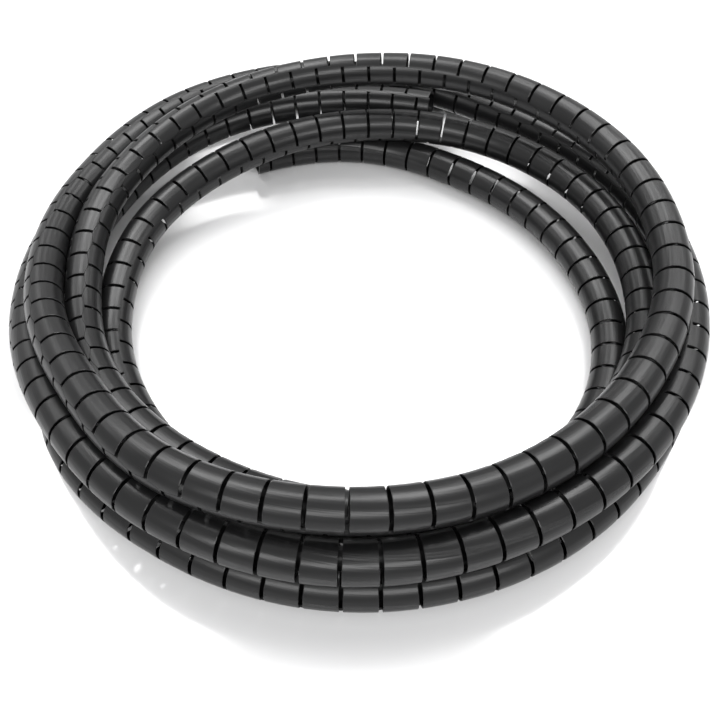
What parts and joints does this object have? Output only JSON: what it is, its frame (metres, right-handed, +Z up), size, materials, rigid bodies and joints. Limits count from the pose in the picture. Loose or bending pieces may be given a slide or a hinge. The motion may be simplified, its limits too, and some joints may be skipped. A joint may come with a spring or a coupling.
{
  "type": "spiral cable wrap",
  "caption": "Hollow slit plastic hose wound into a loose round coil, cut open to wrap round and bundle cables.",
  "frame": {"origin": "on the floor that the coil lies on, under the middle of the coil's box", "axes": "+Z up, out of the coil's ring; -Y towards the side that the picture shows in front, +X to its right"},
  "size_m": [0.3896, 0.4132, 0.0751],
  "materials": {
    "black_plastic": "satin, moulded black polyethylene"
  },
  "bodies": {
    "root": {"wrap_hose": "black_plastic"}
  },
  "joints": []
}
